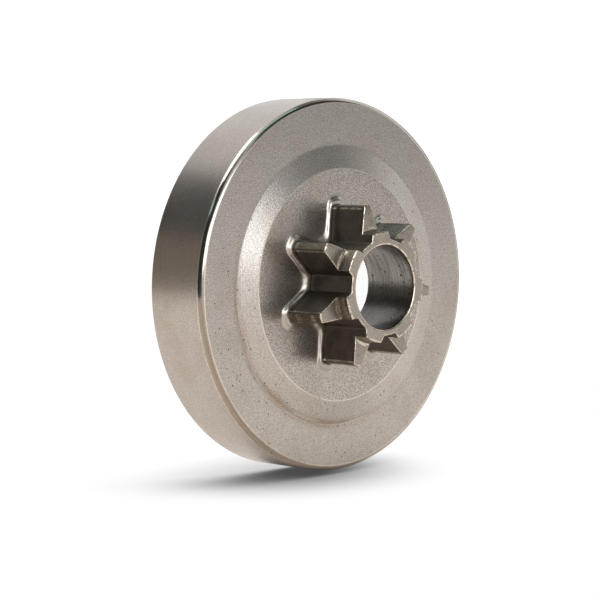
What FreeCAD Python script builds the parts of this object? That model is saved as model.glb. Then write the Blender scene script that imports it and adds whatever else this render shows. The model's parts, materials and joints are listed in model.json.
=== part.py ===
# Chainsaw spur sprocket: a shallow drawn clutch drum with a toothed sleeve fixed in its floor.
# The part stands on the drum's open rim. The origin is on the axis at that rim, +Z runs along the
# bore towards the sleeve's collar, and the first tooth points along +X.
import FreeCAD, Part
import Sketcher
import math
import os

document = FreeCAD.newDocument("ChainsawSpurSprocket")
sheet = document.addObject("Spreadsheet::Sheet", "Sizes")

# Driving dimensions, in millimetres and degrees.
drivingSizes = {
    "drumRadius": 36.0,       # outside of the drum's wall
    "drumDepth": 13.8,        # open rim to the flat outer ring of the floor
    "wallThickness": 2.0,     # clutch shoes rub on the inside of this wall
    "floorThickness": 1.8,
    "shoulderRound": 1.1,     # outside corner between wall and floor
    "cornerBevel": 1.2,       # inside corner between wall and floor
    "rimChamfer": 0.3,
    "coneFootRadius": 27.0,   # the floor begins to rise here
    "discRadius": 22.4,       # the raised centre disc begins here
    "discRise": 1.05,
    "pressBend": 0.25,        # soft bends that the press leaves at both ends of the outer cone
    "lipWidth": 0.95,         # raised lip round the star-shaped hole
    "lipHeight": 0.75,
    "lipBevel": 0.4,          # outer top edge of the lip
    "lipTipRound": 0.9,
    "lipRootRound": 0.5,
    "holeBevel": 0.12,        # top edge of the star-shaped hole
    "seatGap": 0.02,          # brazing gap between the star-shaped hole and the sleeve
    "seatRecess": 0.5,        # the sleeve ends this far inside the floor
    "toothCount": 7,
    "tipRadius": 15.55,
    "tipLand": 1.8,           # flat width of a tooth at its tip
    "rootRadius": 9.2,
    "flankAngle": 40.0,       # each flank against the centre line of its gap
    "rootRound": 0.5,
    "tipRound": 0.3,
    "toothReach": 9.6,        # the floor's outer ring to the tooth ends
    "collarRadius": 10.57,
    "collarLength": 2.75,     # the collar beyond the tooth ends
    "collarFoot": 0.35,
    "edgeBevel": 0.22,        # broken edges at the tooth ends and the collar's end
    "boreRadius": 8.0,
    "mouthChamfer": 0.35,
    "backChamfer": 0.5,
}

# Sizes worked out from the driving ones.
workedOutSizes = {
    "cupRadius": "drumRadius - wallThickness",
    "cupFloorLevel": "drumDepth - floorThickness",
    "discLevel": "drumDepth + discRise",
    "discBackLevel": "discLevel - floorThickness",
    "coneAngle": "atan(discRise / (coneFootRadius - discRadius)) / 1 deg",
    "coneShift": "floorThickness * tan(coneAngle / 2)",
    "coneFootBackRadius": "coneFootRadius - coneShift",
    "discBackRadius": "discRadius - coneShift",
    "lipLevel": "discLevel + lipHeight",
    "starRadius": "tipRadius + seatGap",
    "lipRadius": "starRadius + lipWidth",
    "sleeveBackLevel": "discBackLevel + seatRecess",
    "backChamferLevel": "sleeveBackLevel + backChamfer",
    "toothEndLevel": "drumDepth + toothReach",
    "collarEndLevel": "toothEndLevel + collarLength",
    "mouthChamferLevel": "collarEndLevel - mouthChamfer",
    "mouthRadius": "boreRadius + mouthChamfer",
    "backRadius": "boreRadius + backChamfer",
    "halfPitchAngle": "180 / toothCount",
    "gapTipAngle": "halfPitchAngle - asin(tipLand / 2 / tipRadius) / 1 deg",
    "flankDistance": "tipRadius * sin(flankAngle - gapTipAngle)",
    "toothGapReach": "tipRadius + lipWidth",
    "tongueFloorRadius": "rootRadius + seatGap",
    "tongueFlankDistance": "flankDistance + seatGap",
    "tongueRound": "rootRound - seatGap",
    "tongueReach": "starRadius + lipWidth / 2",
    "tongueHeight": "lipLevel - discBackLevel",
    "lipGapFloorRadius": "tongueFloorRadius + lipWidth",
    "lipGapFlankDistance": "tongueFlankDistance + lipWidth",
    "lipGapReach": "lipRadius + lipWidth",
}

for row, (name, value) in enumerate(list(drivingSizes.items()) + list(workedOutSizes.items()), 1):
    sheet.set("A%d" % row, name)
    sheet.set("B%d" % row, str(value) if name in drivingSizes else "=" + value)
    sheet.setAlias("B%d" % row, name)
document.recompute()


def size(name):
    return float(sheet.get(name))


def origin_item(body, role):
    return next(item for item in body.Origin.OriginFeatures if item.Role == role)


def new_body(name):
    body = document.addObject("PartDesign::Body", name)
    body.Label = name
    return body


def new_sketch(body, name, role):
    sketch = body.newObject("Sketcher::SketchObject", name)
    sketch.AttachmentSupport = [(origin_item(body, role), "")]
    sketch.MapMode = "FlatFace"
    return sketch


def drive(sketch, constraint, alias, unit=""):
    # One named constraint of the sketch, with its value taken from the sheet.
    index = sketch.addConstraint(constraint)
    label = "%s%d" % (alias, index)
    sketch.renameConstraint(index, label)
    sketch.setExpression("Constraints." + label, "Sizes." + alias + unit)


def turned_profile(body, name, corners):
    # A closed outline on the XZ plane, given as pairs of names: distance from the axis, level.
    sketch = new_sketch(body, name, "XZ_Plane")
    places = [FreeCAD.Vector(size(out), size(up) if up else 0, 0) for out, up in corners]
    for number, place in enumerate(places):
        sketch.addGeometry(Part.LineSegment(place, places[(number + 1) % len(places)]))
    for number in range(len(places)):
        sketch.addConstraint(Sketcher.Constraint("Coincident", number, 2, (number + 1) % len(places), 1))
    for number, (out, up) in enumerate(corners):
        drive(sketch, Sketcher.Constraint("DistanceX", -1, 1, number, 1, size(out)), out)
        if up:
            drive(sketch, Sketcher.Constraint("DistanceY", -1, 1, number, 1, size(up)), up)
        else:
            sketch.addConstraint(Sketcher.Constraint("PointOnObject", number, 1, -1))
    return sketch


def turned_blank(body, name, corners):
    revolution = body.newObject("PartDesign::Revolution", name)
    revolution.Profile = turned_profile(body, name + "Profile", corners)
    revolution.ReferenceAxis = (revolution.Profile[0], ["V_Axis"])
    revolution.Angle = 360
    document.recompute()
    return revolution


def gap_sketch(body, name, level, floor, flank, corner, reach):
    # The gap between two teeth, seen along the axis: an arc for its floor, two rounded corners,
    # two straight flanks, and an arc that closes it out beyond the tips.
    sketch = new_sketch(body, name, "XY_Plane")
    sketch.setExpression("AttachmentOffset.Rotation.Angle", "Sizes.halfPitchAngle * 1 deg")
    if level:
        sketch.setExpression("AttachmentOffset.Base.z", "Sizes." + level)
    slope = math.radians(size("flankAngle"))
    along = FreeCAD.Vector(math.cos(slope), math.sin(slope), 0)
    inward = FreeCAD.Vector(math.sin(slope), -math.cos(slope), 0)
    upright = FreeCAD.Vector(0, 0, 1)
    middle = FreeCAD.Vector(0, 0, 0)
    centreAcross = size(flank) + size(corner)
    centreAlong = math.sqrt((size(floor) + size(corner)) ** 2 - centreAcross ** 2)
    centre = inward * centreAcross + along * centreAlong
    flankStart = centre - inward * size(corner)
    flankEnd = inward * size(flank) + along * math.sqrt(size(reach) ** 2 - size(flank) ** 2)
    floorTurn = math.atan2(centre.y, centre.x)
    reachTurn = math.atan2(flankEnd.y, flankEnd.x)

    def below(place):
        return FreeCAD.Vector(place.x, -place.y, 0)

    def arc(around, radius, start, end):
        return Part.ArcOfCircle(Part.Circle(around, upright, radius), start, end)

    sketch.addGeometry(arc(middle, size(floor), -floorTurn, floorTurn))
    sketch.addGeometry(arc(centre, size(corner), slope + math.pi / 2, floorTurn + math.pi))
    sketch.addGeometry(Part.LineSegment(flankStart, flankEnd))
    sketch.addGeometry(arc(middle, size(reach), -reachTurn, reachTurn))
    sketch.addGeometry(Part.LineSegment(below(flankStart), below(flankEnd)))
    sketch.addGeometry(arc(below(centre), size(corner), math.pi - floorTurn, 1.5 * math.pi - slope))
    for curve, alias in ((0, floor), (3, reach)):
        sketch.addConstraint(Sketcher.Constraint("Coincident", curve, 3, -1, 1))
        drive(sketch, Sketcher.Constraint("Radius", curve, size(alias)), alias)
    for touching in ((0, 2, 1, 2), (1, 1, 2, 1), (0, 1, 5, 1), (5, 2, 4, 1)):
        sketch.addConstraint(Sketcher.Constraint("Tangent", *touching))
    sketch.addConstraint(Sketcher.Constraint("Coincident", 2, 2, 3, 2))
    sketch.addConstraint(Sketcher.Constraint("Coincident", 4, 2, 3, 1))
    for curve in (1, 5):
        drive(sketch, Sketcher.Constraint("Radius", curve, size(corner)), corner)
    drive(sketch, Sketcher.Constraint("Angle", 2, slope), "flankAngle", " * 1 deg")
    drive(sketch, Sketcher.Constraint("Angle", 4, -slope), "flankAngle", " * -1 deg")
    for line in (2, 4):
        drive(sketch, Sketcher.Constraint("Distance", -1, 1, line, size(flank)), flank)
    return sketch


def repeat_round(body, name, feature):
    # The same feature once for each gap, evenly round the axis.
    pattern = body.newObject("PartDesign::PolarPattern", name)
    pattern.Originals = [feature]
    pattern.Axis = (origin_item(body, "Z_Axis"), [""])
    pattern.Angle = 360
    pattern.setExpression("Occurrences", "Sizes.toothCount")
    body.Tip = pattern
    document.recompute()
    return pattern


def cut_gaps(body, name, before, level, floor, flank, corner, reach):
    # Gaps cut upwards through everything above the sketch.
    pocket = body.newObject("PartDesign::Pocket", name)
    pocket.Profile = gap_sketch(body, name + "Sketch", level, floor, flank, corner, reach)
    pocket.Type = "ThroughAll"
    pocket.Reversed = True
    document.recompute()
    if pocket.Shape.Volume >= before.Shape.Volume:
        raise RuntimeError(name + " removes nothing")
    return repeat_round(body, name + "Ring", pocket)


def edges_of(feature, wanted):
    return ["Edge%d" % number for number, edge in enumerate(feature.Shape.Edges, 1) if wanted(edge)]


def wall_tops(feature, low, high):
    # A test for the top edges of the upright walls that run from one level to the other.
    tops = []
    for face in feature.Shape.Faces:
        if near(face.BoundBox.ZMin, low) and near(face.BoundBox.ZMax, high):
            tops += [edge for edge in face.Edges if lies_at(edge, high)]
    return lambda edge: any(edge.isSame(top) for top in tops)


def dress(body, kind, name, base, wanted, alias):
    # Rounds or chamfers the wanted edges of the base feature by a size from the sheet.
    feature = body.newObject("PartDesign::" + kind, name)
    feature.Base = (base, edges_of(base, wanted))
    feature.setExpression("Radius" if kind == "Fillet" else "Size", "Sizes." + alias)
    document.recompute()
    return feature


def near(one, other):
    return abs(one - other) < 0.001


def middle_of(edge):
    return edge.valueAt((edge.FirstParameter + edge.LastParameter) / 2)


def lies_at(edge, level):
    places = [vertex.Point for vertex in edge.Vertexes] + [middle_of(edge)]
    return all(near(place.z, level) for place in places)


def out_from_axis(place):
    return math.hypot(place.x, place.y)


def circle_at(radius, level):
    return lambda edge: lies_at(edge, level) and near(out_from_axis(middle_of(edge)), radius)


def upright_at(radius):
    def test(edge):
        ends = [vertex.Point for vertex in edge.Vertexes]
        upright = len(ends) == 2 and not near(ends[0].z, ends[1].z)
        return upright and all(near(out_from_axis(place), radius) for place in ends + [middle_of(edge)])
    return test


# The clutch drum: wall, stepped floor with a round hole, and the stock for the lip in one turned
# shape. Seven tongues then turn the round hole into a star, and the lip's stock is cut to the same
# star, one lip width larger.
drum = new_body("clutch_drum")
cup = turned_blank(drum, "Cup", [
    ("drumRadius", None),
    ("drumRadius", "drumDepth"),
    ("coneFootRadius", "drumDepth"),
    ("discRadius", "discLevel"),
    ("lipRadius", "discLevel"),
    ("lipRadius", "lipLevel"),
    ("starRadius", "lipLevel"),
    ("starRadius", "discBackLevel"),
    ("discBackRadius", "discBackLevel"),
    ("coneFootBackRadius", "cupFloorLevel"),
    ("cupRadius", "cupFloorLevel"),
    ("cupRadius", None),
])

tongue = drum.newObject("PartDesign::Pad", "Tongue")
tongue.Profile = gap_sketch(drum, "TongueSketch", "discBackLevel", "tongueFloorRadius",
                            "tongueFlankDistance", "tongueRound", "tongueReach")
tongue.setExpression("Length", "Sizes.tongueHeight")
document.recompute()
if tongue.Shape.Volume <= cup.Shape.Volume:
    raise RuntimeError("the tongue adds nothing")
tongues = repeat_round(drum, "TongueRing", tongue)
lipStar = cut_gaps(drum, "LipGap", tongues, "discLevel", "lipGapFloorRadius",
                   "lipGapFlankDistance", "lipRootRound", "lipGapReach")
lipTips = dress(drum, "Fillet", "LipTips", lipStar, upright_at(size("lipRadius")), "lipTipRound")
lipTop = dress(drum, "Chamfer", "LipTop", lipTips,
               wall_tops(lipTips, size("discLevel"), size("lipLevel")), "lipBevel")
holeTop = dress(drum, "Chamfer", "HoleTop", lipTop,
                wall_tops(lipTop, size("discBackLevel"), size("lipLevel")), "holeBevel")
shoulder = dress(drum, "Fillet", "Shoulder", holeTop,
                 circle_at(size("drumRadius"), size("drumDepth")), "shoulderRound")
corner = dress(drum, "Chamfer", "InsideCorner", shoulder,
               circle_at(size("cupRadius"), size("cupFloorLevel")), "cornerBevel")


def cone_bend(edge):
    bends = (("coneFootRadius", "drumDepth"), ("discRadius", "discLevel"))
    return any(circle_at(size(out), size(up))(edge) for out, up in bends)


def rim_edge(edge):
    return any(circle_at(size(out), 0)(edge) for out in ("drumRadius", "cupRadius"))


bends = dress(drum, "Chamfer", "PressBends", corner, cone_bend, "pressBend")
rim = dress(drum, "Chamfer", "Rim", bends, rim_edge, "rimChamfer")

# The spur sprocket: a turned sleeve with a collar, then seven gaps cut along its whole length, so
# that the collar is notched between the teeth.
sprocket = new_body("spur_sprocket")
blank = turned_blank(sprocket, "Blank", [
    ("backRadius", "sleeveBackLevel"),
    ("tipRadius", "sleeveBackLevel"),
    ("tipRadius", "toothEndLevel"),
    ("collarRadius", "toothEndLevel"),
    ("collarRadius", "collarEndLevel"),
    ("mouthRadius", "collarEndLevel"),
    ("boreRadius", "mouthChamferLevel"),
    ("boreRadius", "backChamferLevel"),
])
foot = dress(sprocket, "Chamfer", "CollarFoot", blank,
             circle_at(size("collarRadius"), size("toothEndLevel")), "collarFoot")
teeth = cut_gaps(sprocket, "ToothGap", foot, None, "rootRadius", "flankDistance", "rootRound",
                 "toothGapReach")
tips = dress(sprocket, "Fillet", "ToothTips", teeth, upright_at(size("tipRadius")), "tipRound")


def tooth_end(edge):
    out = out_from_axis(middle_of(edge))
    footRadius = size("collarRadius") + size("collarFoot")
    return lies_at(edge, size("toothEndLevel")) and out > footRadius and not near(out, footRadius)


def collar_end(edge):
    inMouth = near(out_from_axis(middle_of(edge)), size("mouthRadius"))
    return lies_at(edge, size("collarEndLevel")) and not inMouth


toothEnds = dress(sprocket, "Chamfer", "ToothEnds", tips, tooth_end, "edgeBevel")
collarEnd = dress(sprocket, "Chamfer", "CollarEnd", toothEnds, collar_end, "edgeBevel")

for item in document.Objects:
    if "Invalid" in item.State or "Error" in item.State:
        raise RuntimeError("failed: " + item.Label)
os.makedirs("parts", exist_ok=True)
for body in (drum, sprocket):
    if body.Shape.isNull() or not body.Shape.isValid() or len(body.Shape.Solids) != 1:
        raise RuntimeError("bad shape: " + body.Label)
    body.Shape.exportStep("parts/" + body.Label + ".step")
    box = body.Shape.BoundBox
    print("%s: %.1f mm3, %.2f to %.2f mm high" % (body.Label, body.Shape.Volume, box.ZMin, box.ZMax))
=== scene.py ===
# Chainsaw spur sprocket: a deep-drawn clutch drum with a toothed sleeve brazed into its floor.
# Lengths in the dictionaries are millimetres and become metres where they are used.
import json
import math
from functools import partial
import bmesh
import bpy
from mathutils import Matrix, Vector, noise


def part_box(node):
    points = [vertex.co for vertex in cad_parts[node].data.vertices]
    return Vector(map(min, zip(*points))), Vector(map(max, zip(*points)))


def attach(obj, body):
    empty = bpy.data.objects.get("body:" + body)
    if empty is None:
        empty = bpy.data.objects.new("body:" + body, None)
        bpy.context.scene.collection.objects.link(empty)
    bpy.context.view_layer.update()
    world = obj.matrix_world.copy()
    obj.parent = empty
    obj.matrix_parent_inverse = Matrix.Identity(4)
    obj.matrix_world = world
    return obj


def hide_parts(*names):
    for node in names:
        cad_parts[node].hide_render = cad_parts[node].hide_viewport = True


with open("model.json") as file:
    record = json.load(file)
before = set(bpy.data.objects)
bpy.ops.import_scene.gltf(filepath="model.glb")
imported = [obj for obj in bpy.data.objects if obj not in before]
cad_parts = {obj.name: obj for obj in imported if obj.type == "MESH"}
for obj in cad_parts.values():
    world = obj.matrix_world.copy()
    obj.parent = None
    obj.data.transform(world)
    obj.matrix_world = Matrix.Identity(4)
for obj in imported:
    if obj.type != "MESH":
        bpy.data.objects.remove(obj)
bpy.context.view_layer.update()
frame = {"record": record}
scene = bpy.context.scene

mm = 0.001
mounts = {mount["name"]: mount["dims"] for mount in frame["record"]["mounts"]}
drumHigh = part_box("clutch_drum")[1] / mm
sleeveLow, sleeveHigh = (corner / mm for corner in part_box("spur_sprocket"))


# The star-shaped outline that the sleeve and the hole have in common.

sleeve = {
    "toothCount": 7,
    "tipRadius": sleeveHigh.x,
    "collarEnd": sleeveHigh.z,
    "back": sleeveLow.z,
    "boreRadius": mounts["needle_cage_bore"]["r_mm"],
    "toothEnd": 23.4,
    "tipLand": 1.8,
    "rootRadius": 9.2,
    "flankAngle": math.radians(40),
    "rootRound": 0.5,
    "tipRound": 0.3,
    "collarRadius": 10.57,
    "collarFoot": 0.35,
    "edgeBreak": 0.2,
    "mouthChamfer": 0.35,
    "backChamfer": 0.5,
    "backBevel": 0.15,
    "edgeGrowth": 0.5,  # the length over which a tooth's bevel grows beside the collar
    "toothRings": (14.4, 16, 18, 20.5, 22.6),
    "boreRings": (25, 22, 18, 15),
}
bevelMiddle = 0.29  # how far in and down a rounded bevel's middle lies, as a share of its size

halfPitch = math.pi / sleeve["toothCount"]
tipHalf = math.asin(sleeve["tipLand"] / 2 / sleeve["tipRadius"])
flankDistance = sleeve["tipRadius"] * math.sin(sleeve["flankAngle"] - halfPitch + tipHalf)

# How many points each stretch has, from the middle of a gap to the middle of the next tooth.
stretch = {"floor": 5, "corner": 6, "flankLow": 4, "flankHigh": 14, "tip": 6, "land": 3}
toothStart = stretch["floor"] + stretch["corner"] + stretch["flankLow"]
tipStart = toothStart + stretch["flankHigh"]
landStart = tipStart + stretch["tip"]


def pointAt(turn, radius=1.0):
    return Vector((math.cos(turn), math.sin(turn))) * radius


def turnOf(place):
    return math.atan2(place.y, place.x)


def arcPoints(centre, radius, start, end, count):
    return [centre + pointAt(start + (end - start) * step / count, radius) for step in range(count)]


def linePoints(start, end, count):
    return [start.lerp(end, step / count) for step in range(count)]


def halfGap(floorRadius, flank, corner, reach, tip, split=None):
    slope = sleeve["flankAngle"]
    along = pointAt(slope)
    inward = Vector((math.sin(slope), -math.cos(slope)))
    across = flank + corner
    centre = inward * across + along * math.sqrt((floorRadius + corner) ** 2 - across ** 2)
    tipCentre = inward * (flank - tip) + along * math.sqrt((reach - tip) ** 2 - (flank - tip) ** 2)
    flankStart = centre - inward * corner
    flankEnd = tipCentre + inward * tip
    middle = flankStart.lerp(flankEnd, 0.2)
    if split:
        middle = inward * flank + along * math.sqrt(split ** 2 - flank ** 2)
    axis = Vector((0, 0))
    points = arcPoints(axis, floorRadius, 0, turnOf(centre), stretch["floor"])
    points += arcPoints(centre, corner, turnOf(centre) + math.pi, slope + math.pi / 2, stretch["corner"])
    points += linePoints(flankStart, middle, stretch["flankLow"])
    points += linePoints(middle, flankEnd, stretch["flankHigh"])
    points += arcPoints(tipCentre, tip, slope - math.pi / 2, turnOf(tipCentre), stretch["tip"])
    points += arcPoints(axis, reach, turnOf(tipCentre), halfPitch, stretch["land"])
    return points + [pointAt(halfPitch, reach)]


def allRound(half):
    # The half gap mirrored and repeated for every gap, starting at the middle of the first tooth.
    gap = [Vector((point.x, -point.y)) for point in half[:0:-1]] + half[:-1]
    turns = [Matrix.Rotation((2 * number + 1) * halfPitch, 2) for number in range(sleeve["toothCount"])]
    return [turn @ point for turn in turns for point in gap]


def spread(halfValues):
    # The same order as allRound, for a plain value at each point.
    return (halfValues[:0:-1] + halfValues[:-1]) * sleeve["toothCount"]


def spreadFinishes(halfFinishes):
    # The same for the finish of the stretch after each point.
    return (halfFinishes[-2::-1] + halfFinishes[:-1]) * sleeve["toothCount"]


def atLevel(points, level):
    return [Vector((point.x, point.y, level)) for point in points]


def blend(first, second, share):
    return [one.lerp(other, share) for one, other in zip(first, second)]


def smooth(low, high, value):
    share = min(max((value - low) / (high - low), 0), 1)
    return share * share * (3 - 2 * share)


def insetBy(points, depths):
    moved = []
    for number, point in enumerate(points):
        run = points[(number + 1) % len(points)] - points[number - 1]
        outward = Vector((run.y, -run.x)).normalized()
        moved.append(point - outward * depths[number])
    return moved


def makePiece(name, strips, materials):
    # strips holds (loop of points, finish of the strip that starts there). The last one closes the ring.
    count = len(strips[0][0])
    faces, finishes = [], []
    for row, (loop, finish) in enumerate(strips):
        after = (row + 1) % len(strips)
        for column in range(count):
            beside = (column + 1) % count
            faces.append([row * count + column, row * count + beside,
                          after * count + beside, after * count + column])
            finishes.append(finish[column] if isinstance(finish, list) else finish)
    mesh = bpy.data.meshes.new(name)
    mesh.from_pydata([point * mm for loop, finish in strips for point in loop], [], faces)
    for material in materials:
        mesh.materials.append(material)
    mesh.polygons.foreach_set("material_index", finishes)
    work = bmesh.new()
    work.from_mesh(mesh)
    bmesh.ops.remove_doubles(work, verts=work.verts, dist=0.0005 * mm)
    bmesh.ops.dissolve_degenerate(work, edges=work.edges, dist=0.0002 * mm)
    bmesh.ops.recalc_face_normals(work, faces=work.faces)
    for face in work.faces:
        face.smooth = True
    work.to_mesh(mesh)
    work.free()
    mesh.set_sharp_from_angle(angle=math.radians(30))
    piece = bpy.data.objects.new(name, mesh)
    scene.collection.objects.link(piece)
    return piece


def linear(hexColour):
    channels = [int(hexColour[place:place + 2], 16) / 255 for place in (1, 3, 5)]
    return [part / 12.92 if part <= 0.04045 else ((part + 0.055) / 1.055) ** 2.4 for part in channels] + [1]


def addNode(material, kind, settings=None, inputs=None):
    # An input is a value, a socket, or a node, which stands for its first output.
    node = material.node_tree.nodes.new(kind)
    for name, value in (settings or {}).items():
        setattr(node, name, value)
    for socket, value in (inputs or {}).items():
        if isinstance(value, bpy.types.Node):
            value = value.outputs[0]
        if isinstance(value, bpy.types.NodeSocket):
            material.node_tree.links.new(value, node.inputs[socket])
        else:
            node.inputs[socket].default_value = value
    return node


def emptyMaterial(name):
    material = bpy.data.materials.new(name)
    material.use_nodes = True
    material.node_tree.nodes.clear()
    return material


# Where the noise patterns of every steel start and end, and how they sit.
pattern = {
    "tilt": (0.6, 0.4, 0.3),  # turns the noise off its own grid
    "stainFrom": 0.45, "stainFull": 0.7,
    "grainFrom": 0.36, "grainFull": 0.64,
    "markFrom": 0.32, "markFull": 0.68,
    "streakFrom": 0.4, "streakFull": 0.56, "streakLeast": 0.15,
    "roughFrom": 0.3, "roughFull": 0.7,
    "bandWander": 1.2,
    "bandPits": 4,  # how much more the oil line is pitted than the rest of the lower side
    "pitSoftness": 0.1,
    "pitRoughness": 0.2,
}


def makeSteel(name, look):
    # A steel surface with stains, a salt-and-pepper grain, pits, tool marks round the drum's axis, and a band
    # of colour on one side that is oil on some steels and painted light on others.
    material = emptyMaterial(name)
    add = partial(addNode, material)
    place = add("ShaderNodeTexCoord").outputs["Object"]
    turned = add("ShaderNodeMapping", None, {"Vector": place, "Rotation": pattern["tilt"]})
    parts = add("ShaderNodeSeparateXYZ", None, {0: place}).outputs
    turn = add("ShaderNodeMath", {"operation": "ARCTAN2"}, {0: parts["Y"], 1: parts["X"]})
    flat = add("ShaderNodeCombineXYZ", None, {0: parts["X"], 1: parts["Y"]})
    radius = add("ShaderNodeVectorMath", {"operation": "LENGTH"}, {0: flat}).outputs["Value"]
    along = add("ShaderNodeMath", {"operation": "MULTIPLY"},
                {0: turn, 1: look["markRadius"] * mm * look["markWidth"] / look["markLength"]})
    unrolled = add("ShaderNodeCombineXYZ", None, {0: along, 1: radius, 2: parts["Z"]})

    grain = add("ShaderNodeTexNoise", None,
                {"Vector": turned, "Scale": 1 / (look["grain"] * mm), "Detail": 2})
    marks = add("ShaderNodeTexNoise", None,
                {"Vector": unrolled, "Scale": 1 / (look["markWidth"] * mm), "Detail": 3})
    clouds = add("ShaderNodeTexNoise", None,
                 {"Vector": turned, "Scale": 1 / (look["stainSize"] * mm), "Detail": 4})
    cells = add("ShaderNodeTexVoronoi", None, {"Vector": turned, "Scale": 1 / (look["pitSpacing"] * mm)})
    chance = add("ShaderNodeSeparateColor", None, {0: cells.outputs["Color"]})
    stained = add("ShaderNodeMapRange", {"interpolation_type": "SMOOTHSTEP"},
                  {0: clouds, 1: pattern["stainFrom"], 2: pattern["stainFull"], 3: 0, 4: look["stainShare"]})
    colour = add("ShaderNodeMix", {"data_type": "RGBA"},
                 {0: stained, 6: linear(look["colour"]), 7: linear(look["stain"])}).outputs[2]
    # A band of colour at a radius, strongest on one side. On the drum's face it is a brown line where oil
    # dried in the crease at the cone's foot; on the shoulder and the flanks it is a painted reflection, and
    # on the tooth tips and in the bore it is painted shade.
    bandTowards = [*pointAt(math.radians(look["bandTowards"])), 0]
    onBandSide = add("ShaderNodeVectorMath", {"operation": "DOT_PRODUCT"}, {0: place, 1: bandTowards}).outputs["Value"]
    onBandSide = add("ShaderNodeMapRange", {"interpolation_type": "SMOOTHSTEP"},
                {0: onBandSide, 1: look["bandSideFrom"] * mm, 2: look["bandSideFull"] * mm})
    wander = pattern["bandWander"]
    wavy = add("ShaderNodeMath", {"operation": "MULTIPLY_ADD"}, {0: clouds, 1: wander * mm, 2: radius})
    offLine = add("ShaderNodeMath", {"operation": "SUBTRACT"},
                  {0: wavy, 1: (look["bandRadius"] + wander / 2) * mm})
    offLine = add("ShaderNodeMath", {"operation": "ABSOLUTE"}, {0: offLine})
    band = add("ShaderNodeMapRange", {"interpolation_type": "SMOOTHSTEP"},
                 {0: offLine, 1: look["bandWidth"] * mm, 2: 0, 3: 0, 4: look["bandShare"]})
    band = add("ShaderNodeMath", {"operation": "MULTIPLY"}, {0: band, 1: onBandSide})
    streaky = add("ShaderNodeMapRange", None, {0: marks, 1: pattern["streakFrom"], 2: pattern["streakFull"],
                                               3: pattern["streakLeast"], 4: 1.0})
    band = add("ShaderNodeMath", {"operation": "MULTIPLY"}, {0: band, 1: streaky})
    colour = add("ShaderNodeMix", {"data_type": "RGBA"},
                 {0: band, 6: colour, 7: linear(look["oilAndPaintedLight"])}).outputs[2]

    # Dark pits, more of them where the oil ran.
    likely = add("ShaderNodeMath", {"operation": "MULTIPLY_ADD"},
                 {0: band, 1: look["lowerPits"] * pattern["bandPits"], 2: chance})
    likely = add("ShaderNodeMath", {"operation": "MULTIPLY_ADD"},
                 {0: onBandSide, 1: look["lowerPits"], 2: likely})
    pitEdge = add("ShaderNodeMapRange", None,
                  {0: likely, 1: 1 - look["pitShare"], 2: 1, 3: 0, 4: look["pitSize"] / look["pitSpacing"]})
    pitInside = add("ShaderNodeMath", {"operation": "SUBTRACT"}, {0: pitEdge, 1: cells})
    pits = add("ShaderNodeMapRange", {"interpolation_type": "SMOOTHSTEP"},
               {0: pitInside, 1: 0, 2: pattern["pitSoftness"]})

    grainTone = add("ShaderNodeMapRange", {"interpolation_type": "SMOOTHSTEP"},
                    {0: grain, 1: pattern["grainFrom"], 2: pattern["grainFull"],
                     3: 1 - look["grainTone"], 4: 1 + look["grainTone"]})
    markTone = add("ShaderNodeMapRange", {"interpolation_type": "SMOOTHSTEP"},
                   {0: marks, 1: pattern["markFrom"], 2: pattern["markFull"],
                    3: 1 - look["markTone"], 4: 1 + look["markTone"]})
    tone = add("ShaderNodeMath", {"operation": "MULTIPLY"}, {0: grainTone, 1: markTone})
    colour = add("ShaderNodeVectorMath", {"operation": "SCALE"}, {0: colour, "Scale": tone})
    pitDark = add("ShaderNodeMath", {"operation": "MULTIPLY"}, {0: pits, 1: look["pitDarkness"]})
    colour = add("ShaderNodeMix", {"data_type": "RGBA"},
                 {0: pitDark, 6: colour, 7: linear(look["pit"])}).outputs[2]

    change = look["roughnessSpread"]
    roughness = add("ShaderNodeMapRange", None,
                    {0: clouds, 1: pattern["roughFrom"], 2: pattern["roughFull"],
                     3: look["roughness"] - change, 4: look["roughness"] + change})
    roughness = add("ShaderNodeMath", {"operation": "MULTIPLY_ADD"},
                    {0: pits, 1: pattern["pitRoughness"], 2: roughness})
    height = add("ShaderNodeMath", {"operation": "MULTIPLY"}, {0: grain, 1: look["grainDepth"]})
    height = add("ShaderNodeMath", {"operation": "MULTIPLY_ADD"}, {0: marks, 1: look["markDepth"], 2: height})
    height = add("ShaderNodeMath", {"operation": "MULTIPLY_ADD"}, {0: pits, 1: -look["pitDepth"], 2: height})
    bump = add("ShaderNodeBump", None, {"Strength": 1.0, "Distance": mm, "Height": height})
    shader = add("ShaderNodeBsdfPrincipled", None,
                 {"Base Color": colour, "Metallic": 1.0, "Roughness": roughness, "Normal": bump})
    add("ShaderNodeOutputMaterial", None, {0: shader})
    return material


# Sizes and depths are millimetres. The real grain of tumbled steel is about 0.05 mm and would not show
# at this distance, so it is drawn at 0.24 mm, about a pixel. Tool marks are as fine, and are drawn 0.12
# to 0.5 mm wide, and 1.5 mm on the tooth lands, where finer ones show as stripes.
plainLook = {
    "colour": "#B2ABA4", "stain": "#A3998E", "stainShare": 0.35, "stainSize": 7,
    "roughness": 0.24, "roughnessSpread": 0.02,
    "grain": 0.24, "grainTone": 0.16, "grainDepth": 0.014,
    "pit": "#4E4740", "pitSpacing": 0.8, "pitShare": 0.25, "pitSize": 0.22, "pitDarkness": 0.7,
    "pitDepth": 0.012, "lowerPits": 0.0,
    "oilAndPaintedLight": "#86705A", "bandRadius": 27.1, "bandWidth": 1.5, "bandShare": 0.0,
    "bandTowards": 235, "bandSideFrom": 5, "bandSideFull": 24,
    "markRadius": 36, "markLength": 14, "markWidth": 0.3, "markTone": 0.0, "markDepth": 0.0,
}

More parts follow.
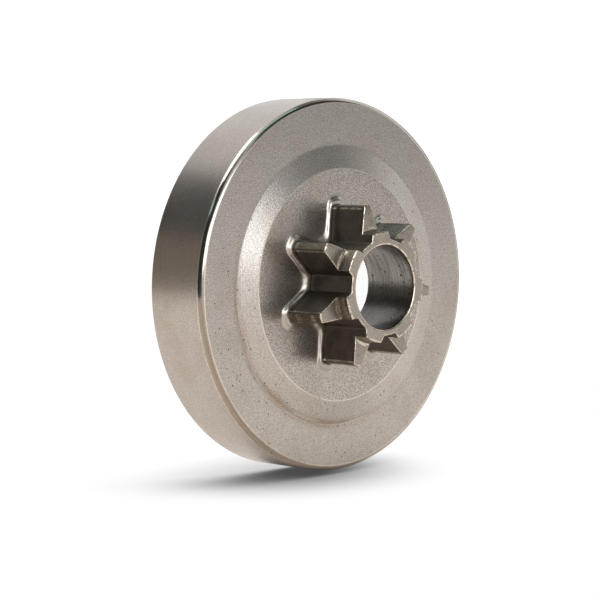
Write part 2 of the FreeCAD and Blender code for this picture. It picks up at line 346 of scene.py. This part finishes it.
# Cold-rolled drawing steel, tumbled after pressing: an even warm grey with a fine salt-and-pepper
# grain, small dark pits and faint brownish stains.
tumbledFloor = makeSteel("tumbledDrawingSteel", plainLook | {"bandShare": 0.65, "lowerPits": 0.07})

# The centre disc, rougher than the face: a darker and coarser salt-and-pepper texture that sparkles.
texturedDisc = makeSteel("texturedDiscSteel", plainLook | {
    "colour": "#AFA8A1", "roughness": 0.27, "grainTone": 0.3, "grainDepth": 0.023})

# The same steel where the drawing die burnished the corner: nearly a mirror, with fine round lines, and a
# brown line along its lower side that is a painted reflection of brown surroundings.
burnishedShoulder = makeSteel("burnishedDrawingSteel", plainLook | {
    "roughness": 0.12, "grainDepth": 0.002, "grainTone": 0.08, "pitShare": 0.05,
    "oilAndPaintedLight": "#9E8C78", "bandRadius": 35.5, "bandWidth": 1.2, "bandShare": 0.75,
    "markWidth": 0.22, "markLength": 30, "markTone": 0.25, "markDepth": 0.012})

# The ironed wall: satin, smooth along its height, with sparse specks.
ironedWall = makeSteel("ironedWallSteel", plainLook | {
    "colour": "#B2AAA3", "roughness": 0.27, "grainDepth": 0.005, "grainTone": 0.12,
    "markWidth": 0.5, "markTone": 0.02, "markDepth": 0.001, "pitShare": 0.05, "pitSpacing": 1.6})

# Metal pushed up round the pierced hole: burnished by the punch, smooth and silvery.
piercedLip = makeSteel("burnishedLipSteel", plainLook | {
    "colour": "#B4ADA4", "roughness": 0.26, "roughnessSpread": 0.04, "grainTone": 0.08, "grainDepth": 0.003,
    "pitShare": 0.05})

# The lip's flat crest, which the punch didn't rub: satin, so it stays grey beside the dark teeth.
satinCrest = makeSteel("satinCrestSteel", plainLook | {"roughness": 0.33, "grainTone": 0.1, "pitShare": 0.05})

# The disc's edge and both edges of the shoulder, where tumbling rubbed the bend bright, lighter still as a
# painted highlight line.
rubbedBendAndHighlight = makeSteel("rubbedBendAndHighlightSteel", plainLook | {"colour": "#CBC4BA", "grainTone": 0.1})

# The inside, where the shoes rub: turned, with fine round marks.
turnedInside = makeSteel("turnedTrackSteel", plainLook | {
    "colour": "#A39C95", "roughness": 0.32, "markWidth": 0.12, "markLength": 40, "markTone": 0.05,
    "markDepth": 0.003, "pitShare": 0.05})

# Sintered and steam-treated flanks: dark brown-grey oxide with a faint mottle, and a light grey-green painted
# reflection over one side.
oxidisedFlank = makeSteel("steamTreatedFlankSteel", plainLook | {
    "colour": "#6A625B", "stain": "#59524C", "stainSize": 2, "stainShare": 0.6, "roughness": 0.42,
    "grainTone": 0.12, "grainDepth": 0.004, "pitShare": 0.1, "pit": "#3A342E",
    "oilAndPaintedLight": "#A8ABA5", "bandRadius": 13, "bandWidth": 9, "bandShare": 1.0, "bandTowards": 30, "bandSideFrom": 8,
    "bandSideFull": 11})

# Turned outside of the teeth and collar, with a thinner oxide, and painted shade darkening its lower side.
turnedTips = makeSteel("turnedSleeveSteel", plainLook | {
    "colour": "#ADA496", "stain": "#857C72", "roughness": 0.3, "grainTone": 0.4, "markWidth": 1.5,
    "markTone": 0.1, "markDepth": 0.002,
    "oilAndPaintedLight": "#4E443A", "bandRadius": 13, "bandWidth": 9, "bandShare": 1.0, "bandSideFrom": 0, "bandSideFull": 9})

# Ground end faces: light brownish grey, matt, with a fine grain.
groundEnd = makeSteel("groundEndSteel", plainLook | {
    "colour": "#A39B91", "stain": "#8C8276", "roughness": 0.34, "grainTone": 0.16, "grainDepth": 0.006,
    "stainSize": 3})

# The tooth ends keep more of the oxide: darker, with the same fine grain.
turnedEnd = makeSteel("turnedEndSteel", plainLook | {
    "colour": "#978F86", "stain": "#7C746A", "roughness": 0.3, "grainTone": 0.16, "grainDepth": 0.006,
    "stainSize": 2})

# Edges rubbed bright by tumbling, with breaks where the oxide is left, and lighter still as a painted
# highlight along each edge.
wornEdgeAndHighlight = makeSteel("rubbedEdgeAndHighlightSteel", plainLook | {
    "colour": "#D2C6B6", "stain": "#857A6E", "roughness": 0.22, "stainSize": 0.7, "stainShare": 1.0,
    "grainTone": 0.2})

# The reamed bore: grey, with round tool marks, small dark pits, and painted shade along its lowest side.
reamedBore = makeSteel("reamedBoreSteel", plainLook | {
    "colour": "#7B7976", "stain": "#64625F", "roughness": 0.28, "markRadius": 8, "markLength": 8,
    "markWidth": 0.22, "markTone": 0.34, "markDepth": 0.006, "pitShare": 0.7, "pitSpacing": 0.7,
    "pitSize": 0.3, "pitDarkness": 0.85,
    "oilAndPaintedLight": "#3E3B37", "bandRadius": 8, "bandWidth": 4, "bandShare": 0.5, "bandTowards": -58, "bandSideFrom": 1,
    "bandSideFull": 6.5})

print("finishes made")


# The clutch drum.
drum = {
    "radius": drumHigh.x,
    "trackRadius": mounts["shoe_track"]["r_mm"],
    "faceLevel": 13.8,
    "floorThickness": 1.8,
    "shoulderRound": 1.1,
    "insideRound": 1.2,
    "rimChamfer": 0.3,
    "coneFoot": 27.0,
    "discRadius": 22.4,
    "discRise": 1.05,
    "pressRound": 1.2,
    "lipWidth": 1.4,
    "lipRise": 0.42,
    "lipSlope": 0.66,
    "crestRootRound": 1.9,
    "lipRootRound": 2.2,
    "lipRootExtra": 0.75,
    "lipTipRound": 1.75,
    "lipTipExtra": 0.4,
    "lipTipLift": 0.3,
    "lipGapLift": 0.25,
    "lipWaver": 0.08,
    "lipUnevenness": 0.05,
    "lipSeed": 7,
    "seatGap": 0.02,
    "faceRings": (27.6, 29, 31, 33),
    "wallRings": (10, 7, 4, 1.5, 0.45),
    "trackRings": (1, 4, 8),
    "floorRings": (32.6, 29.5),
    "discRings": (19, 17),
    "edgeRing": 0.15,  # the last ring before the shoulder, this far from it
}

sleeveStar = allRound(halfGap(sleeve["rootRadius"], flankDistance, sleeve["rootRound"],
                              sleeve["tipRadius"], sleeve["tipRound"], sleeve["collarRadius"]))
evenTurns = [2 * math.pi * step / len(sleeveStar) for step in range(len(sleeveStar))]


def ring(radius, level):
    return atLevel([pointAt(turn, radius) for turn in evenTurns], level)


def bend(centreOut, centreUp, radius, start, end, steps):
    turns = [math.radians(start + (end - start) * step / steps) for step in range(steps + 1)]
    return [ring(centreOut + radius * math.cos(turn), centreUp + radius * math.sin(turn)) for turn in turns]


def clutchDrum():
    floor, shoulder, wall, lip, inside, bright, disc, crestTop = range(8)
    discLevel = drum["faceLevel"] + drum["discRise"]
    discBack = discLevel - drum["floorThickness"]
    insideFloor = drum["faceLevel"] - drum["floorThickness"]
    coneSlope = math.atan(drum["discRise"] / (drum["coneFoot"] - drum["discRadius"]))
    coneDegrees = math.degrees(coneSlope)
    bendReach = drum["pressRound"] * math.tan(coneSlope / 2)
    coneShift = drum["floorThickness"] * math.tan(coneSlope / 2)
    gap, width = drum["seatGap"], drum["lipWidth"]
    hole = allRound(halfGap(sleeve["rootRadius"] + gap, flankDistance + gap, sleeve["rootRound"] - gap,
                            sleeve["tipRadius"] + gap, sleeve["tipRound"] - gap))

    def lipOutline(wide, rootRound, rootExtra=0.0, tipExtra=0.1):
        # A line this wide of the hole, with rounder and wider gaps and tips.
        return allRound(halfGap(sleeve["rootRadius"] + wide + rootExtra, flankDistance + wide, rootRound,
                                sleeve["tipRadius"] + wide + tipExtra, drum["lipTipRound"] + wide - width))

    crest = lipOutline(width - drum["lipSlope"], drum["crestRootRound"])
    foot = lipOutline(width, drum["lipRootRound"], drum["lipRootExtra"], drum["lipTipExtra"])

    # noise_vector starts from the clock unless it is given a seed, and the lip would differ from run to run.
    noise.seed_set(drum["lipSeed"])

    def beadRow(share, height):
        # One row of the lip: share 0 is the hole's edge, 0.5 the outer edge of the crest, and 1 the foot.
        row = []
        points = blend(hole, crest, share * 2) if share < 0.5 else blend(crest, foot, share * 2 - 1)
        for point in points:
            spot = Vector((point.x, point.y, share)) * 0.45
            wander = noise.noise_vector(spot) * drum["lipUnevenness"] * min(share * 2, 1)
            rise = drum["lipRise"] * height
            rise *= (0.95 + drum["lipTipLift"] * smooth(14, 16, point.length)
                     + drum["lipGapLift"] * smooth(13, 11, point.length))
            rise *= 1 + drum["lipWaver"] * noise.noise(spot * 1.7)
            row.append(Vector((point.x + wander.x, point.y + wander.y, discLevel + rise)))
        return row

    # A soft bead: a broad flat crest beside the hole, then an even fall into the disc. Each pair is how far
    # out a row lies and how high.
    beadProfile = [(0, 0.76), (0.03, 0.88), (0.08, 0.95), (0.18, 1.0), (0.38, 1.0), (0.5, 0.97), (0.58, 0.87),
                   (0.68, 0.62), (0.78, 0.36), (0.88, 0.14), (1.0, 0.04)]
    strips = [(beadRow(share, height), lip if share > 0.4 else crestTop) for share, height in beadProfile]
    lipFoot = beadRow(1.25, 0.02)
    strips.append((lipFoot, disc))
    discEdge = bend(drum["discRadius"] - bendReach, discLevel - drum["pressRound"], drum["pressRound"],
                    90, 90 - coneDegrees, 3)
    strips += [(blend(lipFoot, discEdge[0], share), disc) for share in (0.1, 0.3, 0.6, 0.9)]
    coneFoot = bend(drum["coneFoot"] + bendReach, drum["faceLevel"] + drum["pressRound"],
                    drum["pressRound"], -90 - coneDegrees, -90, 3)
    # The disc's bend takes the rubbed bend finish, a painted highlight line along it.
    strips += [(row, bright) for row in discEdge[:-1]] + [(discEdge[-1], floor)]
    strips += [(blend(discEdge[-1], coneFoot[0], share), floor) for share in (0.08, 0.35, 0.65, 0.92)]
    strips += [(row, floor) for row in coneFoot]
    faceEnd = drum["radius"] - drum["shoulderRound"]
    edgeRing = drum["edgeRing"]
    strips += [(ring(radius, drum["faceLevel"]), floor)
               for radius in (*drum["faceRings"], faceEnd - edgeRing)]
    wallTop = drum["faceLevel"] - drum["shoulderRound"]
    corner = bend(faceEnd, wallTop, drum["shoulderRound"], 90, 0, 14)
    # Both edges of the shoulder are rubbed bright and painted lighter as highlight lines.
    strips += [(row, shoulder if 1 < number < 12 else bright) for number, row in enumerate(corner[:-1])]
    strips.append((corner[-1], wall))
    strips += [(ring(drum["radius"], level), wall) for level in (wallTop - edgeRing, *drum["wallRings"])]
    chamfer = drum["rimChamfer"]
    track = drum["trackRadius"]
    strips.append((ring(drum["radius"], chamfer), shoulder))
    strips += [(ring(drum["radius"] - chamfer, 0), inside), (ring(track + chamfer, 0), inside)]
    strips += [(ring(track, level), inside) for level in (chamfer, *drum["trackRings"])]
    strips += [(row, inside) for row in bend(track - drum["insideRound"], insideFloor - drum["insideRound"],
                                             drum["insideRound"], 0, 90, 8)]
    strips += [(ring(radius, insideFloor), inside)
               for radius in (*drum["floorRings"], drum["coneFoot"] - coneShift)]
    strips += [(ring(radius, discBack), inside)
               for radius in (drum["discRadius"] - coneShift, *drum["discRings"])]
    strips.append((atLevel(hole, discBack), inside))
    piece = makePiece("pressed_drum", strips,
                      [tumbledFloor, burnishedShoulder, ironedWall, piercedLip, turnedInside, rubbedBendAndHighlight,
                       texturedDisc, satinCrest])
    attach(piece, "root")
    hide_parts("clutch_drum")
    return piece


def toothedSleeve():
    flank, turned, ground, edge, bore, toothFace = range(6)
    toothEnd, collarEnd, broken = sleeve["toothEnd"], sleeve["collarEnd"], sleeve["edgeBreak"]
    starHalf = halfGap(sleeve["rootRadius"], flankDistance, sleeve["rootRound"],
                       sleeve["tipRadius"], sleeve["tipRound"], sleeve["collarRadius"])
    crossing = starHalf[toothStart]
    collarHalf = starHalf[:toothStart] + arcPoints(Vector((0, 0)), sleeve["collarRadius"], turnOf(crossing),
                                                   halfPitch, len(starHalf) - 1 - toothStart)
    collarHalf.append(pointAt(halfPitch, sleeve["collarRadius"]))
    collar = allRound(collarHalf)
    # 0 in the gaps, 1 on the teeth, growing over the first half millimetre of a flank above the collar.
    onTooth, onCollar = (spread([smooth(0, sleeve["edgeGrowth"], (point - crossing).length)
                                 if number > toothStart else 0 for number, point in enumerate(half)])
                         for half in (starHalf, collarHalf))
    numbers = range(len(starHalf))
    # The flank's last stretch, beside the tip's rounded corner, takes the rubbed edge finish as a painted
    # highlight line.
    sides = spreadFinishes([turned if number >= landStart else edge if number == tipStart - 1 else flank
                            for number in numbers])
    collarSides = spreadFinishes([turned if number >= toothStart else flank for number in numbers])
    endEdges = spreadFinishes([edge if number >= toothStart else flank for number in numbers])
    endFaces = spreadFinishes([toothFace if number >= toothStart else flank for number in numbers])
    uneven = [0.8 + 0.5 * noise.noise(Vector((point.x, point.y, 5)) * 1.3) for point in sleeveStar]

    def inset(points, depth, weights=None):
        weights = weights or [1] * len(points)
        return insetBy(points, [depth * weight * share for weight, share in zip(weights, uneven)])

    def boreRing(radius, level):
        return atLevel([point.normalized() * radius for point in collar], level)

    foot = sleeve["collarFoot"]
    footRow = [point * (1 + foot * share / point.length) for point, share in zip(collar, onCollar)]
    mouthRound = sleeve["mouthChamfer"]
    mouth = sleeve["boreRadius"] + mouthRound
    strips = [
        (boreRing(sleeve["boreRadius"] + sleeve["backChamfer"], sleeve["back"]), ground),
        (atLevel(inset(sleeveStar, sleeve["backBevel"]), sleeve["back"]), edge),
        (atLevel(sleeveStar, sleeve["back"] + sleeve["backBevel"]), sides),
    ]
    strips += [(atLevel(sleeveStar, level), sides) for level in sleeve["toothRings"]]
    starEnd = inset(sleeveStar, broken, onTooth)
    strips += [
        (atLevel(sleeveStar, toothEnd - broken), endEdges),
        (atLevel(inset(sleeveStar, bevelMiddle * broken, onTooth), toothEnd - bevelMiddle * broken),
         endEdges),
        (atLevel(starEnd, toothEnd), endFaces),
        (atLevel(blend(starEnd, footRow, 0.4), toothEnd), endFaces),
        (atLevel(blend(starEnd, footRow, 0.88), toothEnd), endEdges),
        (atLevel(footRow, toothEnd), flank),
        (atLevel(blend(collar, footRow, bevelMiddle), toothEnd + bevelMiddle * foot), collarSides),
        (atLevel(collar, toothEnd + foot), collarSides),
        (atLevel(collar, toothEnd + 1.2), collarSides),
        (atLevel(collar, collarEnd - broken - 0.2), collarSides),
        (atLevel(collar, collarEnd - broken), edge),
        (atLevel(inset(collar, bevelMiddle * broken), collarEnd - bevelMiddle * broken), edge),
    ]
    collarFace = inset(collar, broken)
    mouthRow = [point.normalized() * mouth for point in collar]
    # The outer ring of the collar's face takes the rubbed edge finish, a painted highlight line round it.
    collarTop = [(0, edge), (0.1, ground), (0.5, ground), (0.85, ground)]
    strips += [(atLevel(blend(collarFace, mouthRow, share), collarEnd), finish)
               for share, finish in collarTop]
    # The mouth's outer rounding takes the rubbed edge finish: wear, with a painted highlight line.
    mouthFinishes = (edge, edge, edge, bore, bore, bore)
    for step, finish in enumerate(mouthFinishes):
        turn = step / (len(mouthFinishes) - 1) * math.pi / 2
        strips.append((boreRing(mouth - mouthRound * math.sin(turn),
                                collarEnd - mouthRound * (1 - math.cos(turn))), finish))
    strips += [(boreRing(sleeve["boreRadius"], level), bore) for level in sleeve["boreRings"]]
    strips.append((boreRing(sleeve["boreRadius"], sleeve["back"] + sleeve["backChamfer"]), bore))
    piece = makePiece("toothed_sleeve", strips,
                      [oxidisedFlank, turnedTips, groundEnd, wornEdgeAndHighlight, reamedBore, turnedEnd])
    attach(piece, "root")
    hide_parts("spur_sprocket")
    return piece


for piece in (clutchDrum(), toothedSleeve()):
    print(piece.name, len(piece.data.polygons), "faces")


# The camera, in the drum's own millimetres.
camera = {
    "place": (-299.26, -3.45, 303.4),
    "aim": (-10.3, -3.45, 13.8),
    "up": (-0.0462, 0.9979, -0.0462),
    "lens": 129.3,
}


def axesFrom(back, up):
    right = up.cross(back).normalized()
    return Matrix((right, back.cross(right), back)).transposed()


cameraObject = bpy.data.objects.new("camera", bpy.data.cameras.new("camera"))
scene.collection.objects.link(cameraObject)
cameraBack = (Vector(camera["place"]) - Vector(camera["aim"])).normalized()
cameraAxes = axesFrom(cameraBack, Vector(camera["up"]))
cameraObject.matrix_world = Matrix.Translation(Vector(camera["place"]) * mm) @ cameraAxes.to_4x4()
cameraObject.data.lens = camera["lens"]
cameraObject.data.clip_start = 0.01
scene.camera = cameraObject


def towards(azimuth, elevation):
    # Seen from the drum with the picture upright: azimuth 0 is towards the camera and 90 is to the right.
    a, e = math.radians(azimuth), math.radians(elevation)
    return cameraAxes @ Vector((math.sin(a) * math.cos(e), math.sin(e), math.cos(a) * math.cos(e)))


def glowing(name, strength, tint="#FFFFFF"):
    material = emptyMaterial(name)
    glow = addNode(material, "ShaderNodeEmission", None, {"Color": linear(tint), "Strength": strength})
    addNode(material, "ShaderNodeOutputMaterial", None, {0: glow.outputs[0]})
    return material


def facing(azimuth, elevation, distance, spin=0.0):
    direction = towards(azimuth, elevation)
    axes = axesFrom(direction, cameraAxes @ Vector((0, 1, 0.001)))
    turned = axes.to_4x4() @ Matrix.Rotation(math.radians(spin), 4, "Z")
    return Matrix.Translation(direction * distance) @ turned


def plane(name, reach, material, matrix):
    left, right, near, far = reach
    mesh = bpy.data.meshes.new(name)
    mesh.from_pydata([(left, near, 0), (right, near, 0), (right, far, 0), (left, far, 0)], [], [(0, 1, 2, 3)])
    mesh.materials.append(material)
    piece = bpy.data.objects.new(name, mesh)
    scene.collection.objects.link(piece)
    piece.matrix_world = matrix
    return piece


def card(name, azimuth, elevation, width, height, strength, tint="#FFFFFF", distance=0.9):
    # A flat card square to its direction, width and height in degrees as seen from the drum.
    across = distance * math.tan(math.radians(width / 2))
    up = distance * math.tan(math.radians(height / 2))
    piece = plane(name, (-across, across, -up, up), glowing(name, strength, tint),
                  facing(azimuth, elevation, distance))
    piece.visible_camera = False
    piece.visible_diffuse = False
    piece.visible_shadow = False


def softbox(name, azimuth, elevation, width, height, radiance, distance=0.6, spin=0.0, tint="#FFFFFF"):
    light = bpy.data.lights.new(name, "AREA")
    light.color = linear(tint)[:3]
    light.shape = "RECTANGLE"
    light.size, light.size_y = width, height
    light.energy = radiance * math.pi * width * height
    piece = bpy.data.objects.new(name, light)
    scene.collection.objects.link(piece)
    piece.matrix_world = facing(azimuth, elevation, distance, spin)


studio = {
    "floorColour": "#A0A0A0",
    "floorGlow": 0.92,
    "tableGlow": 0.9,
    "tableShade": 0.2,
    "contactReach": 0.038,
    "contactPower": 1.7,
    "contactDarkest": 0.07,
    "mirrorReach": 0.003,
    "floorGap": 0.006,
    "floorGapEnd": 0.013,
    "tableMirrorGlow": 0.4,
    "tableTurn": 6.2,
    "tableDrop": 0.9,
    "fadeCentre": (-0.014, 0, 0),
    "fadeStart": 0.014,
    "fadeEnd": 0.042,
    "floorReach": 4,
    "tableReach": (-0.6, 0.6, -0.3, 0.3),
    "skyFill": 0.45,
    # What the steel mirrors round the table: the direction in degrees, the colour and its level.
    "tableRound": [(-180, "#FFF8F1", 0.92), (-75, "#FFF8F1", 0.92), (-50, "#F7EDE4", 0.78),
                   (20, "#F7EDE4", 0.78), (45, "#FFF8F2", 0.9), (68, "#FFF9F3", 0.92),
                   (86, "#FFFAF5", 0.86), (110, "#FFFAF5", 1.0), (180, "#FFF8F1", 0.86)],
    # Azimuth, elevation, width and height in degrees, then the glow, the tint and the distance.
    "cards": {
        "leftLowFlag": (-92, 8, 48, 24, 0.28, "#FFF0E0"),
        "leftMidFlag": (-104, 31.5, 66, 24, 0.09),
        "leftHighFlag": (-104, 49, 66, 11, 0.78),
        "frontFlag": (-31, 24, 84, 68, 0.06, "#E8FFF4"),
        "frontTealStrip": (-57, 38, 32, 8, 1.2, "#BFE0D6", 0.85),
        "frontHighFlag": (25, 48, 26, 20, 0.4, "#EEFFF8"),
        "frontLowFlag": (-4, -5, 32, 8, 0.15, "#E6F0FF"),
        "rightTealStrip": (56, 62, 34, 15, 1.3, "#C0F4E4", 0.85),
        "rightLowFlag": (84, 10, 35, 20, 0.48),
        "rightHighFlag": (79, 38, 40, 36, 0.08),
        "rightTopFlag": (96, 66, 56, 20, 0.28),
        "backTealFlag": (156, 2, 48, 44, 0.2, "#DDF2EC"),
    },
}

softbox("overheadSoftbox", -68, 67, 0.36, 0.48, 3.1, 0.64, -70)
softbox("windowSoftbox", 36, 10, 0.6, 0.21, 3.2, tint="#F4FAFF")
for name, values in studio["cards"].items():
    card(name, *values)


def pickRays(material, names):
    # 1 for these kinds of ray and 0 for the rest.
    rays = addNode(material, "ShaderNodeLightPath").outputs
    picked = rays[names[0]]
    for name in names[1:]:
        picked = addNode(material, "ShaderNodeMath", {"operation": "MAXIMUM"},
                         {0: picked, 1: rays[name]}).outputs[0]
    return picked


# The table's surface: square to this direction, and touching the drum's side.
tableTurn = math.radians(studio["tableTurn"])
tableUp = Vector((-math.sin(tableTurn), math.cos(tableTurn), 0))


def makeFloor():
    # The floor that the rim rests on. The camera sees past it just above the table, so the table's shadow
    # goes on behind it.
    material = emptyMaterial("paleFloor")
    seen = pickRays(material, ["Is Camera Ray", "Is Glossy Ray", "Is Transmission Ray"])
    strength = addNode(material, "ShaderNodeMath", {"operation": "MULTIPLY"},
                       {0: seen, 1: studio["floorGlow"]})
    glow = addNode(material, "ShaderNodeEmission", None, {"Color": (1, 1, 1, 1), "Strength": strength})
    pale = addNode(material, "ShaderNodeBsdfDiffuse", None, {"Color": linear(studio["floorColour"])})
    both = addNode(material, "ShaderNodeAddShader", None, {0: glow, 1: pale})
    place = addNode(material, "ShaderNodeTexCoord").outputs["Object"]
    above = addNode(material, "ShaderNodeVectorMath", {"operation": "DOT_PRODUCT"}, {0: place, 1: tableUp})
    above = addNode(material, "ShaderNodeMath", {"operation": "ADD"},
                    {0: above.outputs["Value"], 1: drum["radius"] * mm})
    above = addNode(material, "ShaderNodeMath", {"operation": "ABSOLUTE"}, {0: above})
    near = addNode(material, "ShaderNodeMapRange", {"interpolation_type": "SMOOTHSTEP"},
                   {0: above, 1: studio["floorGapEnd"], 2: studio["floorGap"]})
    clear = addNode(material, "ShaderNodeBsdfTransparent")
    both = addNode(material, "ShaderNodeMixShader", None, {0: near, 1: both, 2: clear})
    addNode(material, "ShaderNodeOutputMaterial", None, {0: both})
    reach = studio["floorReach"]
    floor = plane("floor", (-reach, reach, -reach, reach), material, Matrix.Identity(4))
    floor.visible_glossy = False
    floor.visible_shadow = False
    floor.visible_diffuse = False


def makeTable():
    # The white table that the drum stands on its edge on, as in the picture. It is see-through from behind,
    # and fades into the white background away from the drum.
    material = emptyMaterial("whiteTable")
    add = partial(addNode, material)
    place = add("ShaderNodeTexCoord").outputs["Object"]
    parts = add("ShaderNodeSeparateXYZ", None, {0: place}).outputs
    seen, mirrored = pickRays(material, ["Is Camera Ray"]), pickRays(material, ["Is Glossy Ray"])

    # What the steel mirrors: brown in front, white paper elsewhere, brightest below the window.
    nearer = add("ShaderNodeMath", {"operation": "MULTIPLY"}, {0: parts["Y"], 1: -1})
    azimuth = add("ShaderNodeMath", {"operation": "ARCTAN2"}, {0: parts["X"], 1: nearer})
    turn = add("ShaderNodeMapRange", None, {0: azimuth, 1: -math.pi, 2: math.pi})
    ramp = add("ShaderNodeValToRGB", None, {0: turn})
    elements = ramp.color_ramp.elements
    for number, (degrees, colour, level) in enumerate(studio["tableRound"]):
        element = elements[number] if number < 2 else elements.new(1)
        element.position = (degrees + 180) / 360
        element.color = [channel * level for channel in linear(colour)[:3]] + [1]
    ramp = add("ShaderNodeAmbientOcclusion", {"samples": 8},
               {"Color": ramp, "Distance": studio["mirrorReach"]})
    # What the camera sees: white paper with a soft shadow round the place where the drum stands.
    shaded = add("ShaderNodeAmbientOcclusion", {"samples": 16}, {"Distance": studio["contactReach"]})
    shaded = add("ShaderNodeGamma", None, {0: shaded, 1: studio["contactPower"]})
    shaded = add("ShaderNodeMapRange", None, {0: shaded, 3: studio["contactDarkest"], 4: 1})
    dim = add("ShaderNodeVectorMath", {"operation": "SCALE"}, {0: shaded, "Scale": studio["tableShade"]})
    matt = add("ShaderNodeMix", {"data_type": "RGBA"}, {0: mirrored, 6: dim, 7: ramp}).outputs[2]
    colour = add("ShaderNodeMix", {"data_type": "RGBA"}, {0: mirrored, 6: shaded, 7: ramp}).outputs[2]
    paper = add("ShaderNodeBsdfDiffuse", None, {"Color": matt})
    strength = add("ShaderNodeMath", {"operation": "MULTIPLY"}, {0: seen, 1: studio["tableGlow"]})
    strength = add("ShaderNodeMath", {"operation": "MULTIPLY_ADD"},
                   {0: mirrored, 1: studio["tableMirrorGlow"], 2: strength})
    glow = add("ShaderNodeEmission", None, {"Color": colour, "Strength": strength})
    lit = add("ShaderNodeAddShader", None, {0: paper, 1: glow})

    away = add("ShaderNodeVectorMath", {"operation": "DISTANCE"}, {0: place, 1: studio["fadeCentre"]})
    faded = add("ShaderNodeMapRange", {"interpolation_type": "SMOOTHSTEP"},
                {0: away.outputs["Value"], 1: studio["fadeStart"], 2: studio["fadeEnd"]})
    share = add("ShaderNodeMath", {"operation": "MULTIPLY"}, {0: faded, 1: seen})
    white = add("ShaderNodeEmission", None, {"Color": (1, 1, 1, 1), "Strength": 1.0})
    front = add("ShaderNodeMixShader", None, {0: share, 1: lit, 2: white})
    behind = add("ShaderNodeNewGeometry").outputs["Backfacing"]
    clear = add("ShaderNodeBsdfTransparent")
    both = add("ShaderNodeMixShader", None, {0: behind, 1: front, 2: clear})
    add("ShaderNodeOutputMaterial", None, {0: both})

    back = (cameraBack - tableUp * cameraBack.dot(tableUp)).normalized()
    axes = Matrix((tableUp.cross(back), -back, tableUp)).transposed()
    touching = -tableUp * (drum["radius"] + studio["tableDrop"]) + Vector((0, 0, drum["faceLevel"] / 2))
    plane("table", studio["tableReach"], material, Matrix.Translation(touching * mm) @ axes.to_4x4())


makeFloor()
makeTable()

world = bpy.data.worlds.new("studio")
world.use_nodes = True
scene.world = world
world.node_tree.nodes.clear()
seen = pickRays(world, ["Is Camera Ray", "Is Glossy Ray", "Is Transmission Ray"])
strength = addNode(world, "ShaderNodeMapRange", None, {0: seen, 3: studio["skyFill"], 4: 1.0}).outputs[0]
sky = addNode(world, "ShaderNodeBackground", None, {"Color": (1, 1, 1, 1), "Strength": strength})
addNode(world, "ShaderNodeOutputWorld", None, {0: sky.outputs[0]})
scene.view_settings.view_transform = "Standard"
print("studio made")
